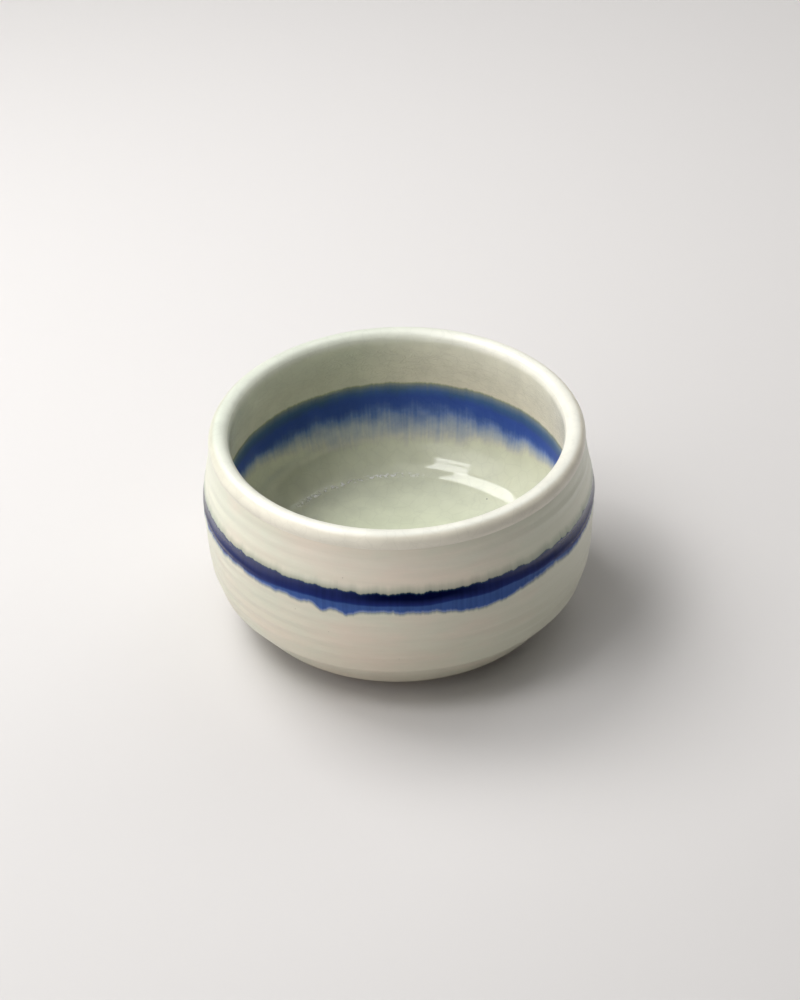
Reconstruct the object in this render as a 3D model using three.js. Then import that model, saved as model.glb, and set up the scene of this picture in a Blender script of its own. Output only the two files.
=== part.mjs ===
// A wheel-thrown tea bowl: a stoneware body with a pale green glaze inside and over the lip, an ivory glaze
// outside, and a cobalt band let into each. Millimetres, +Z up. The origin is under the middle of the foot,
// on the surface that the bowl stands on, and -Y is the front.
import * as THREE from "three";
import { toCreasedNormals } from "three/addons/utils/BufferGeometryUtils.js";

// Driving dimensions
const HEIGHT = 66;
const BELLY_RADIUS = 60;
const LIP_RADIUS = 54;
const LIP_ROLL = 3.2;
const WALL_INSIDE_RADIUS = 53;
const GLAZE = 0.8;
const FACETS = 64;
const CREASED_FROM = 25;

// The rolled lip's section is an arc. Its glazes meet low on its outer side, at this angle below level.
const LIP_CENTRE = HEIGHT - LIP_ROLL;
const SEAM_ANGLE = -22;
const LIP_ANGLES = [180, 140, 90, 45, 8];
const CLAY_LIP_ANGLES = [180, 112, 45];

// Measured points of the two walls, top to bottom: radius against the wall's widest, and depth below LIP_CENTRE
const OUTSIDE_POINTS = [
  [-2.35, 5.5],
  [-1.6, 10],
  [-0.6, 15],
  [0, 20],
  [-0.2, 27],
  [-0.5, 34],
  [-1.1, 40],
];
const INSIDE_POINTS = [
  [-1.5, 7],
  [-0.6, 16],
  [0, 25],
  [-0.7, 32.5],
  [-3, 38],
  [-7.4, 42.6],
];

// Throwing rings: ridges left by the fingers, a ring's pitch apart down the outer wall. Ridges and the hollows
// between them are counted in half pitches from the first ridge.
const RING_PITCH = 4.25;
const RING_RELIEF = 0.15;
const RING_FADES = { top: 3, foot: 6 };
const FIRST_RIDGE = 5.2;
const RINGS_ABOVE_BAND = [-1, 0, 1, 2, 3];
const RINGS_BELOW_BAND = [10, 11, 12, 13, 14, 15, 16, 17, 18];
const INNER_RING_PITCH = 7;
const INNER_RING_RELIEF = 0.1;
const INNER_RING_FADES = { top: 8, foot: 12 };

// The turned chamfer under the belly, the foot ring and the hollow inside it
const CREASE_RADIUS = 57.2;
const CREASE_HEIGHT = 16.4;
const CHAMFER_FOOT_RADIUS = 49.4;
const CHAMFER_FOOT_HEIGHT = 6.2;
const UNDERSIDE_HEIGHT = 4.7;
const GLAZE_LINE_RADIUS = 44.5;
const FOOT_RADIUS = 33;
const FOOT_WIDTH = 5;
const FOOT_TAPER = 1;
const FOOT_BEVEL = 0.6;
const FOOT_HOLLOW = 5;
const FOOT_ROOT = { out: 2.4, drop: 0.6 };
const HOLLOW_ROOT = 0.8;
const GLAZE_ROLL = { start: 1.6, rise: 0.2, edge: 0.5 };

// The floor of the bowl is a shallow well with a low step round it, where the tea settles
const WELL_RADIUS = 40.2;
const WELL_HEIGHT = 17.1;
const WELL_STEP = 0.35;
const WELL_STEP_WIDTH = 0.9;
const FLOOR_HEIGHT = 15;
const FLOOR_RISE_HALFWAY = 0.35;
const CORNER_LENGTH = 17.5;
const CORNER_FACETS = 5;
const FLOOR_DISTANCES = [0, 14, 28];
const UPPER_WALL_DISTANCES = [14.1, 10.2, 6.4, 2.5];

// Where the clay's face under the glazes is set out: distances down each wall, and its corner under the step
const CLAY_FLOOR_DISTANCE = 20;
const CLAY_CORNER_OUT = 0.2;
const CLAY_INSIDE = { from: 5.5, beforeFoot: 3.5, facets: 7 };
const CLAY_OUTSIDE = { from: 6, to: 41, facets: 5 };
const CLAY_CREASE = { inwards: 0.9, up: 0.25 };
const CLAY_CHAMFER_FOOT = { inwards: 0.5, up: 0.8 };

// Each band lies in a channel in its glaze. Distances run down the wall from the start of its curve.
const CHANNEL = 0.4;
const OUTER_BAND = { top: 14.3, width: 6.4, proud: 0.25, shoulder: 1 };
const INNER_BAND = { top: 17.6, width: 12.4, proud: 0.12, shoulder: 4, toe: 2 };

// How each band's lower edge wavers round the bowl. The inner band's first wave is its long sag at the back.
const OUTER_WAVES = [
  { height: 0.12, count: 5, phase: 1 },
  { height: 0.1, count: 13, phase: 0 },
];
const INNER_WAVES = [
  { height: 4.2, count: 1, phase: 0 },
  { height: 0.35, count: 11, phase: 0 },
  { height: 0.25, count: 23, phase: 2 },
];

// Where the outer band's cobalt has run: degrees round from the front, half width and length of each run
const RUNS = [
  { at: -22.5, spread: 2.4, length: 1.6 },
  { at: -15.5, spread: 3, length: 2.1 },
  { at: 25, spread: 12, length: 2.7 },
  { at: 58, spread: 6, length: 1.2 },
  { at: 98, spread: 9, length: 1.4 },
  { at: 152, spread: 5, length: 1.7 },
  { at: -96, spread: 12, length: 1.1 },
  { at: -141, spread: 4, length: 1.9 },
];

const degrees = THREE.MathUtils.degToRad;

// Angle round the bowl, in degrees from the front, positive towards +X
function fromFront(angle) {
  const turn = THREE.MathUtils.radToDeg(angle) + 90;
  return THREE.MathUtils.euclideanModulo(turn + 180, 360) - 180;
}

// The sum of a band's waves at an angle
function waver(waves, angle) {
  return waves.reduce((sum, wave) => sum + wave.height * Math.sin(wave.count * angle + wave.phase), 0);
}

// How far the outer band's lower edge hangs below its mean line at an angle
function outerRun(angle) {
  const here = fromFront(angle);
  return RUNS.reduce((sum, run) => {
    const away = THREE.MathUtils.euclideanModulo(here - run.at + 180, 360) - 180;
    return sum + run.length * Math.exp(-((away / run.spread) ** 2));
  }, waver(OUTER_WAVES, angle));
}

// The glazed faces of the section: out along the floor, down the inside wall and down the outside wall
const floorCurve = new THREE.SplineCurve([
  new THREE.Vector2(0, FLOOR_HEIGHT),
  new THREE.Vector2(WELL_RADIUS / 2, FLOOR_HEIGHT + FLOOR_RISE_HALFWAY),
  new THREE.Vector2(WELL_RADIUS - WELL_STEP_WIDTH, WELL_HEIGHT - WELL_STEP),
]);
const insideCurve = new THREE.SplineCurve([
  new THREE.Vector2(LIP_RADIUS - LIP_ROLL, LIP_CENTRE),
  ...INSIDE_POINTS.map(([out, drop]) => new THREE.Vector2(WALL_INSIDE_RADIUS + out, LIP_CENTRE - drop)),
  new THREE.Vector2(WELL_RADIUS, WELL_HEIGHT),
]);
const outsideCurve = new THREE.SplineCurve([
  new THREE.Vector2(...onLip(SEAM_ANGLE, LIP_ROLL)),
  ...OUTSIDE_POINTS.map(([out, drop]) => new THREE.Vector2(BELLY_RADIUS + out, LIP_CENTRE - drop)),
  new THREE.Vector2(CREASE_RADIUS, CREASE_HEIGHT),
]);

// A point of the lip's round section, at an angle above level and a radius from its middle
function onLip(angle, radius) {
  return [
    LIP_RADIUS + radius * Math.cos(degrees(angle)),
    LIP_CENTRE + radius * Math.sin(degrees(angle)),
  ];
}

// A point of the section, a distance along a curve from its start and a depth from the glaze into the clay.
// The inside wall's curve runs down with the clay on its left, so its depths turn the other way.
function along(curve, distance, depth = 0) {
  const part = Math.min(distance / curve.getLength(), 1);
  const point = curve.getPointAt(part);
  const way = curve.getTangentAt(part);
  const side = curve === insideCurve ? -depth : depth;
  return [point.x + side * way.y, point.y - side * way.x];
}

// The height of the throwing rings at a distance down the outer wall, which die out at the lip and the crease
function outerRing(distance) {
  const length = outsideCurve.getLength();
  const fade = Math.min(1, distance / RING_FADES.top, (length - distance) / RING_FADES.foot);
  return RING_RELIEF * fade * Math.cos((2 * Math.PI * (distance - FIRST_RIDGE)) / RING_PITCH);
}

function innerRing(distance) {
  const length = insideCurve.getLength();
  const fade = Math.min(1, distance / INNER_RING_FADES.top, (length - distance) / INNER_RING_FADES.foot);
  return INNER_RING_RELIEF * fade * Math.cos((2 * Math.PI * distance) / INNER_RING_PITCH);
}

const outerFace = (distance) => along(outsideCurve, distance, -outerRing(distance));
const innerFace = (distance) => along(insideCurve, distance, -innerRing(distance));

// The distances from one place to another in equal steps, both ends included
function steps(from, to, count) {
  return Array.from({ length: count + 1 }, (_, i) => from + ((to - from) * i) / count);
}

// Turns rows of the section about the Z axis into a closed solid. The rows run with the solid on their
// right, and each is a point, or a function of the angle where an edge wanders. Rows that start and end on
// the axis stop there, and any others close on themselves. A facet's diagonal leaves its lower row, so two
// solids that share two rows share the same facets between them.
function turned(name, rows, material) {
  const at = (row, angle) => (typeof row === "function" ? row(angle) : row);
  const onAxis = (row) => at(row, 0)[0] === 0;
  const positions = [];
  const starts = rows.map((row) => {
    const start = positions.length / 3;
    const count = onAxis(row) ? 1 : FACETS;
    for (let i = 0; i < count; i += 1) {
      const angle = (2 * Math.PI * i) / FACETS;
      const [radius, height] = at(row, angle);
      positions.push(radius * Math.cos(angle), radius * Math.sin(angle), height);
    }
    return start;
  });
  const corner = (k, i) => starts[k] + (onAxis(rows[k]) ? 0 : i % FACETS);
  const isLower = (k, other) => {
    const [radius, height] = at(rows[k], 0);
    const [otherRadius, otherHeight] = at(rows[other], 0);
    return height === otherHeight ? radius < otherRadius : height < otherHeight;
  };
  const faces = [];
  const last = onAxis(rows[0]) ? rows.length - 1 : rows.length;
  for (let k = 0; k < last; k += 1) {
    const next = (k + 1) % rows.length;
    for (let i = 0; i < FACETS; i += 1) {
      const [a, b] = [corner(k, i), corner(k, i + 1)];
      const [d, c] = [corner(next, i), corner(next, i + 1)];
      if (a === b) faces.push(a, d, c);
      else if (c === d) faces.push(a, c, b);
      else if (isLower(k, next)) faces.push(a, d, c, a, c, b);
      else faces.push(a, d, b, b, d, c);
    }
  }
  const geometry = new THREE.BufferGeometry();
  geometry.setAttribute("position", new THREE.Float32BufferAttribute(positions, 3));
  geometry.setIndex(faces);
  const mesh = new THREE.Mesh(toCreasedNormals(geometry, degrees(CREASED_FROM)), material);
  mesh.name = name;
  return mesh;
}

// The clay's faces under the glazes, which the glazes share
const clayFloor = [[0, FLOOR_HEIGHT - GLAZE], along(floorCurve, CLAY_FLOOR_DISTANCE, GLAZE)];
const clayCorner = [WELL_RADIUS + CLAY_CORNER_OUT, WELL_HEIGHT - WELL_STEP - GLAZE];
const clayInsideEnd = insideCurve.getLength() - CLAY_INSIDE.beforeFoot;
const clayInside = steps(clayInsideEnd, CLAY_INSIDE.from, CLAY_INSIDE.facets).map((distance) =>
  along(insideCurve, distance, GLAZE),
);
const clayLip = CLAY_LIP_ANGLES.map((angle) => onLip(angle, LIP_ROLL - GLAZE));
const claySeam = onLip(SEAM_ANGLE, LIP_ROLL - GLAZE);
const underLiner = [...clayFloor, clayCorner, ...clayInside, ...clayLip, claySeam];
const underOuter = [
  ...steps(CLAY_OUTSIDE.from, CLAY_OUTSIDE.to, CLAY_OUTSIDE.facets).map((distance) =>
    along(outsideCurve, distance, GLAZE),
  ),
  [CREASE_RADIUS - CLAY_CREASE.inwards * GLAZE, CREASE_HEIGHT + CLAY_CREASE.up * GLAZE],
  [
    CHAMFER_FOOT_RADIUS - CLAY_CHAMFER_FOOT.inwards * GLAZE,
    CHAMFER_FOOT_HEIGHT + CLAY_CHAMFER_FOOT.up * GLAZE,
  ],
  [GLAZE_LINE_RADIUS, UNDERSIDE_HEIGHT + GLAZE],
];

// Stoneware body: thrown in one piece on the wheel, with its chamfer, foot ring and hollow turned in the
// leather-hard clay. It is bare only on the underside and the foot.
function clayBody() {
  const footInner = FOOT_RADIUS - FOOT_WIDTH;
  const foot = [
    [FOOT_RADIUS + FOOT_ROOT.out, UNDERSIDE_HEIGHT + GLAZE],
    [FOOT_RADIUS + FOOT_TAPER, UNDERSIDE_HEIGHT - FOOT_ROOT.drop],
    [FOOT_RADIUS, FOOT_BEVEL],
    [FOOT_RADIUS - FOOT_BEVEL, 0],
    [footInner + FOOT_BEVEL, 0],
    [footInner, FOOT_BEVEL],
    [footInner - FOOT_TAPER, FOOT_HOLLOW - HOLLOW_ROOT],
    [footInner - 2 * FOOT_TAPER, FOOT_HOLLOW],
    [0, FOOT_HOLLOW],
  ];
  const clay = new THREE.MeshStandardMaterial({ color: 0xb9a68a, roughness: 0.85, metalness: 0 });
  return turned("clay_body", [...underLiner, ...underOuter, ...foot], clay);
}

// Edges of the inner band's channel. Its lower edge wanders, on the glaze's face and on the channel's floor.
const innerBandFoot = (angle) => INNER_BAND.top + INNER_BAND.width + waver(INNER_WAVES, angle);
const innerEdges = {
  top: innerFace(INNER_BAND.top),
  topFloor: along(insideCurve, INNER_BAND.top, CHANNEL),
  foot: (angle) => innerFace(innerBandFoot(angle)),
  footFloor: (angle) => along(insideCurve, innerBandFoot(angle), CHANNEL),
};

// Liner glaze: pale green celadon poured into the bowl and rolled over its lip. It pools on the floor, and
// a low step shows round the pool.
function linerGlaze() {
  const length = insideCurve.getLength();
  const floor = FLOOR_DISTANCES.map((distance) => along(floorCurve, distance));
  const step = along(floorCurve, floorCurve.getLength());
  const lower = steps(length, length - CORNER_LENGTH, CORNER_FACETS).map(innerFace);
  const upper = UPPER_WALL_DISTANCES.map(innerFace);
  const lip = LIP_ANGLES.map((angle) => onLip(angle, LIP_ROLL));
  const front = [
    ...floor,
    step,
    ...lower,
    innerEdges.foot,
    innerEdges.footFloor,
    innerEdges.topFloor,
    innerEdges.top,
    ...upper,
    ...lip,
    along(outsideCurve, 0),
  ];
  const celadon = new THREE.MeshStandardMaterial({ color: 0xc3c8ad, roughness: 0.12, metalness: 0 });
  return turned("liner_glaze", [...front, ...underLiner.slice().reverse()], celadon);
}

// Inner cobalt band: brushed round the wall inside, crisp at its top and feathered into streaks below
function innerBand() {
  const { top, proud, shoulder, toe } = INNER_BAND;
  const middle = along(insideCurve, top + shoulder, -proud);
  const low = (angle) => along(insideCurve, innerBandFoot(angle) - toe, -proud);
  const rows = [
    innerEdges.footFloor,
    innerEdges.foot,
    low,
    middle,
    innerEdges.top,
    innerEdges.topFloor,
  ];
  const cobalt = new THREE.MeshStandardMaterial({ color: 0x3a5a92, roughness: 0.12, metalness: 0 });
  return turned("inner_cobalt_band", rows, cobalt);
}

// Edges of the outer band's channel
const outerBandFoot = (angle) => OUTER_BAND.top + OUTER_BAND.width + outerRun(angle);
const outerEdges = {
  top: outerFace(OUTER_BAND.top),
  topFloor: along(outsideCurve, OUTER_BAND.top, CHANNEL),
  foot: (angle) => outerFace(outerBandFoot(angle)),
  footFloor: (angle) => along(outsideCurve, outerBandFoot(angle), CHANNEL),
};

// Outer glaze: satin ivory from the lip down over the chamfer, ending in a thick edge under it. The throwing
// rings show through as ridges.
function outerGlaze() {
  const ringAt = (count) => FIRST_RIDGE + (count * RING_PITCH) / 2;
  const upper = RINGS_ABOVE_BAND.map(ringAt);
  const lower = RINGS_BELOW_BAND.map(ringAt);
  const front = [
    along(outsideCurve, 0),
    ...upper.map(outerFace),
    outerEdges.top,
    outerEdges.topFloor,
    outerEdges.footFloor,
    outerEdges.foot,
    ...lower.map(outerFace),
    [CREASE_RADIUS, CREASE_HEIGHT],
    [CHAMFER_FOOT_RADIUS, CHAMFER_FOOT_HEIGHT],
    [CHAMFER_FOOT_RADIUS - GLAZE_ROLL.start, UNDERSIDE_HEIGHT + GLAZE_ROLL.rise],
    [GLAZE_LINE_RADIUS + GLAZE_ROLL.edge, UNDERSIDE_HEIGHT],
  ];
  const ivory = new THREE.MeshStandardMaterial({ color: 0xd2ccbd, roughness: 0.35, metalness: 0 });
  return turned("outer_glaze", [...front, ...underOuter.slice().reverse(), claySeam], ivory);
}

// Outer cobalt band: a thick dark stripe on the belly that stands a little proud, and has run at its foot
function outerBand() {
  const { top, width, proud, shoulder } = OUTER_BAND;
  const rows = [
    outerEdges.top,
    along(outsideCurve, top + shoulder, -proud),
    along(outsideCurve, top + width / 2, -proud),
    (angle) => along(outsideCurve, outerBandFoot(angle) - shoulder, -proud),
    outerEdges.foot,
    outerEdges.footFloor,
    outerEdges.topFloor,
  ];
  const cobalt = new THREE.MeshStandardMaterial({ color: 0x1b2350, roughness: 0.2, metalness: 0 });
  return turned("outer_cobalt_band", rows, cobalt);
}

const bowl = new THREE.Group();
bowl.add(clayBody(), linerGlaze(), innerBand(), outerGlaze(), outerBand());

export default bowl;
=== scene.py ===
# A wheel-thrown tea bowl: stoneware, with celadon glaze inside and over the lip, ivory glaze outside and a
# cobalt band melted into each. Metres, +Z up, the origin under the middle of the foot, -Y the front. Sizes
# are written in millimetres, and MM turns them to metres where Blender needs them.
import math

import bpy
from mathutils import Matrix, Quaternion, Vector


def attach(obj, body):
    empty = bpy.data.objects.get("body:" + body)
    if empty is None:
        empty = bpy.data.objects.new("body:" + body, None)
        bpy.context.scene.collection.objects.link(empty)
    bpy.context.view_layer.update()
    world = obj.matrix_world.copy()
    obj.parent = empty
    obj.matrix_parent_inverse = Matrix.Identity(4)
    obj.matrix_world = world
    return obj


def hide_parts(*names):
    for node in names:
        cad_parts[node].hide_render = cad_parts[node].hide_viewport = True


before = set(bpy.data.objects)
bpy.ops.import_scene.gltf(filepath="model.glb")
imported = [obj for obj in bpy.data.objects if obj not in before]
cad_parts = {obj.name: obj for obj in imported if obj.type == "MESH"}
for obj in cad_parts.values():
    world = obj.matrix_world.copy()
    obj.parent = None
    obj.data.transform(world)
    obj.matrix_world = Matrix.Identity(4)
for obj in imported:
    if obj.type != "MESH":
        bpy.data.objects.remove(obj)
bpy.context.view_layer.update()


# The clay body. Stoneware thrown in one piece on the wheel. When it was leather-hard it was turned over and
# its chamfer, foot ring and hollow were cut with a loop tool. Only the underside and the foot are bare.
MM = 0.001
HEIGHT = 66
BELLY_RADIUS = 60
LIP_RADIUS = 54
LIP_ROLL = 3.2
LIP_CENTRE = HEIGHT - LIP_ROLL
SEAM_ANGLE = -22
INSIDE_RADIUS = 53
GLAZE = 0.8
CREASE = (57.2, 16.4)
CHAMFER_FOOT = (49.4, 6.2)
UNDERSIDE_HEIGHT = 4.7
GLAZE_LINE_RADIUS = 44.5
FOOT_RADIUS = 33
FOOT_WIDTH = 5
FOOT_TAPER = 1
FOOT_BEVEL = 0.6
FOOT_HOLLOW = 5
WELL_RADIUS = 40.2
WELL_HEIGHT = 17.1
WELL_STEP = 0.35
FLOOR_HEIGHT = 15
CLAY_STEP = 1.2
CLAY_FACETS = 384


def on_lip(angle, radius=LIP_ROLL):
    """A point of the lip's round section, at an angle above level"""
    turn = math.radians(angle)
    return (LIP_RADIUS + radius * math.cos(turn), LIP_CENTRE + radius * math.sin(turn))


def smooth(points, each=12):
    """The throwing line through a few measured points: a smooth curve that passes through all of them"""
    line = []
    for k in range(len(points) - 1):
        before, start, end = points[max(k - 1, 0)], points[k], points[k + 1]
        after = points[min(k + 2, len(points) - 1)]
        for i in range(each):
            t = i / each
            line.append(
                tuple(
                    b
                    + t * (c - a) / 2
                    + t * t * (a - 2.5 * b + 2 * c - d / 2)
                    + t**3 * (1.5 * (b - c) + (d - a) / 2)
                    for a, b, c, d in zip(before, start, end, after)
                )
            )
    return line + [points[-1]]


def length(line):
    """How long a line of the section is, from its first point to its last"""
    return sum(math.dist(a, b) for a, b in zip(line, line[1:]))


def place(line, down, depth=0.0, side=1):
    """A point a distance down the line and a depth under it, towards the clay"""
    for a, b in zip(line, line[1:]):
        step = math.dist(a, b)
        if down <= step or b is line[-1]:
            part = min(down / step, 1)
            way = ((b[0] - a[0]) / step, (b[1] - a[1]) / step)
            return (
                a[0] + part * (b[0] - a[0]) + side * depth * way[1],
                a[1] + part * (b[1] - a[1]) - side * depth * way[0],
            )
        down -= step


def steps(start, end, size):
    """Distances from start to end, both included, in equal steps of about a size"""
    count = max(1, round(abs(end - start) / size))
    return [start + (end - start) * i / count for i in range(count + 1)]


# Down the outside: from the seam under the lip, over the belly to the crease, the chamfer and the glaze line
outside_wall = smooth(
    [
        on_lip(SEAM_ANGLE),
        (BELLY_RADIUS - 2.35, LIP_CENTRE - 5.5),
        (BELLY_RADIUS - 1.6, LIP_CENTRE - 10),
        (BELLY_RADIUS - 0.6, LIP_CENTRE - 15),
        (BELLY_RADIUS, LIP_CENTRE - 20),
        (BELLY_RADIUS - 0.2, LIP_CENTRE - 27),
        (BELLY_RADIUS - 0.5, LIP_CENTRE - 34),
        (BELLY_RADIUS - 1.1, LIP_CENTRE - 40),
        CREASE,
    ]
)
glaze_roll = [
    (CHAMFER_FOOT[0] - 0.7, CHAMFER_FOOT[1] - 0.75),
    (CHAMFER_FOOT[0] - 1.7, UNDERSIDE_HEIGHT + 0.15),
    (GLAZE_LINE_RADIUS + 1.2, UNDERSIDE_HEIGHT),
    (GLAZE_LINE_RADIUS + 0.3, UNDERSIDE_HEIGHT + 0.25),
    (GLAZE_LINE_RADIUS, UNDERSIDE_HEIGHT + GLAZE),
]
outside = outside_wall + [CHAMFER_FOOT] + glaze_roll
WALL_LENGTH = length(outside_wall)
OUTSIDE_LENGTH = length(outside)

# Down the inside: from the same seam over the lip, down the wall, round the corner and in along the floor
lip = [on_lip(angle) for angle in range(SEAM_ANGLE, 180, 6)]
inside_wall = smooth(
    [
        on_lip(180),
        (INSIDE_RADIUS - 1.5, LIP_CENTRE - 7),
        (INSIDE_RADIUS - 0.6, LIP_CENTRE - 16),
        (INSIDE_RADIUS, LIP_CENTRE - 25),
        (INSIDE_RADIUS - 0.7, LIP_CENTRE - 32.5),
        (INSIDE_RADIUS - 3, LIP_CENTRE - 38),
        (INSIDE_RADIUS - 7.4, WELL_HEIGHT + 3.1),
        (WELL_RADIUS + 3, WELL_HEIGHT + 1.3),
        (WELL_RADIUS + 1, WELL_HEIGHT + 0.32),
        (WELL_RADIUS, WELL_HEIGHT),
    ]
)
floor_line = smooth(
    [(WELL_RADIUS - 0.5, WELL_HEIGHT - 0.12), (WELL_RADIUS / 2, FLOOR_HEIGHT + 0.35), (0, FLOOR_HEIGHT)]
)
inside = lip + inside_wall + floor_line
LIP_LENGTH = length(lip + inside_wall[:1])
WELL_AT = LIP_LENGTH + length(inside_wall)
INSIDE_LENGTH = length(inside)

# The clay's own section, from the middle of the floor over the lip to the middle of the foot's hollow
foot_inner = FOOT_RADIUS - FOOT_WIDTH
clay_line = (
    [(0, FLOOR_HEIGHT - GLAZE)]
    + [place(inside, down, GLAZE, -1) for down in steps(INSIDE_LENGTH - 12, WELL_AT + 6, 6)]
    + [(WELL_RADIUS + 0.2, WELL_HEIGHT - WELL_STEP - GLAZE)]
    + [place(inside, down, GLAZE, -1) for down in steps(WELL_AT - 3.5, LIP_LENGTH + 2, 2.5)]
    + [on_lip(angle, LIP_ROLL - GLAZE) for angle in range(170, SEAM_ANGLE, -12)]
    + [on_lip(SEAM_ANGLE, LIP_ROLL - GLAZE)]
    + [place(outside, down, GLAZE) for down in steps(4, WALL_LENGTH - 3, 2.5)]
    + [(CREASE[0] - 0.9 * GLAZE, CREASE[1] + 0.25 * GLAZE)]
    + [(CHAMFER_FOOT[0] - 0.5 * GLAZE, CHAMFER_FOOT[1] + 0.8 * GLAZE)]
    + [(GLAZE_LINE_RADIUS, UNDERSIDE_HEIGHT + GLAZE)]
    + [(FOOT_RADIUS + 4, UNDERSIDE_HEIGHT + GLAZE)]
    + [(FOOT_RADIUS + 2.2 * FOOT_TAPER, UNDERSIDE_HEIGHT + 0.55)]
    + [(FOOT_RADIUS + 1.4 * FOOT_TAPER, UNDERSIDE_HEIGHT - 0.2)]
    + [(FOOT_RADIUS + FOOT_TAPER, UNDERSIDE_HEIGHT - 1.2)]
    + [(FOOT_RADIUS, FOOT_BEVEL), (FOOT_RADIUS - FOOT_BEVEL, 0)]
    + [(foot_inner + FOOT_BEVEL, 0), (foot_inner, FOOT_BEVEL)]
    + [(foot_inner - FOOT_TAPER, FOOT_HOLLOW - 0.8), (foot_inner - 2 * FOOT_TAPER, FOOT_HOLLOW)]
    + [(0, FOOT_HOLLOW)]
)


def node(tree, kind, inputs=None, **settings):
    """Adds a node to a tree, with its settings and what goes into its sockets: a node, socket or value"""
    made = tree.nodes.new(kind)
    for name, value in settings.items():
        setattr(made, name, value)
    for key, value in (inputs or {}).items():
        if isinstance(value, bpy.types.Node):
            value = value.outputs[0]
        if isinstance(value, bpy.types.NodeSocket):
            tree.links.new(value, made.inputs[key])
        else:
            made.inputs[key].default_value = value
    return made


MATHS = "ShaderNodeMath"
VECTOR = "ShaderNodeVectorMath"
JOIN = "ShaderNodeCombineXYZ"
SPLIT = "ShaderNodeSeparateXYZ"
RANGE = "ShaderNodeMapRange"
NOISE = "ShaderNodeTexNoise"
CELLS = "ShaderNodeTexVoronoi"
RAMP = "ShaderNodeValToRGB"
MIX = "ShaderNodeMix"
BUMP = "ShaderNodeBump"
SURFACE = "ShaderNodeBsdfPrincipled"
OUTPUT = "ShaderNodeOutputMaterial"

# What the thrower's fingers left, in mm: how soon the rings rise and die out at the ends of the wall, how
# far down they stay alike, how long a finger's mark is down the wall, and how many come to a radian round it
RING_RISE = 4
RING_FALL = 6
RINGS_ALIKE = 6.5
MARK_LENGTH = 3
MARKS_PER_RADIAN = 2.2
# A row less deep than this is on the face. Points nearer than the gap are one, as at the floor's middle
FACE_DEPTH = 0.1
POLE_GAP = 0.002
SHARP_DEGREES = 40


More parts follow.
